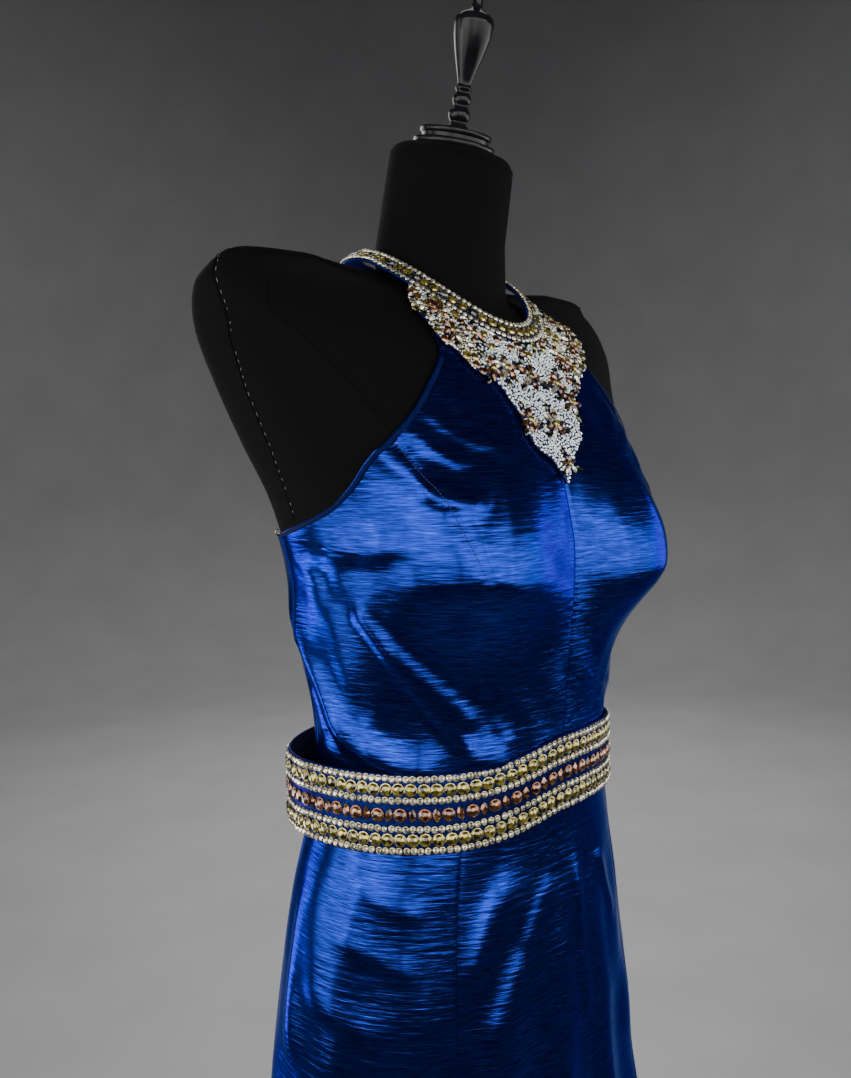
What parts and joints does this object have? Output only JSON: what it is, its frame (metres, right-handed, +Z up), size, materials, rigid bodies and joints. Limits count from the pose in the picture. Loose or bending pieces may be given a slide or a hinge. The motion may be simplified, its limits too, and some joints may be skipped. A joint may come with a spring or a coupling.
{
  "type": "halter dress on a dress form",
  "caption": "Sleeveless halter dress with a beaded collar and yoke, a stone-set belt and a panelled skirt, on a limbless dress form that stands on a pole and a round base.",
  "frame": {"origin": "on the floor under the middle of the stand's round base", "axes": "+Z up along the pole, the figure faces -Y, and its right side is at -X"},
  "size_m": [0.3942, 0.3431, 1.6346],
  "materials": {
    "form_knit": "matte black knit",
    "black_gloss": "glossy black lacquer",
    "stand_metal": "satin black",
    "blue_taffeta": "shot taffeta with a strong sheen and fine crosswise slubs",
    "blue_bind": "satin binding",
    "belt_stones": "faceted olive and peach stones in metal cups",
    "collar_stones": "faceted clear and olive stones in metal cups",
    "beaded_yoke": "white seed beads with copper-coloured bead flowers"
  },
  "bodies": {
    "root": {"form_torso": "form_knit", "neck_cap": "black_gloss", "finial": "black_gloss", "form_plate": "black_gloss", "pole": "stand_metal", "base": "black_gloss", "front_right": "blue_taffeta", "front_left": "blue_taffeta", "back_right": "blue_taffeta", "back_left": "blue_taffeta", "armhole_bind_right": "blue_bind", "armhole_bind_left": "blue_bind", "skirt_front": "blue_taffeta", "skirt_side_right": "blue_taffeta", "skirt_side_left": "blue_taffeta", "skirt_back_right": "blue_taffeta", "skirt_back_left": "blue_taffeta", "belt": "belt_stones", "collar": "collar_stones", "yoke": "beaded_yoke", "zip_back": "blue_bind"}
  },
  "joints": []
}
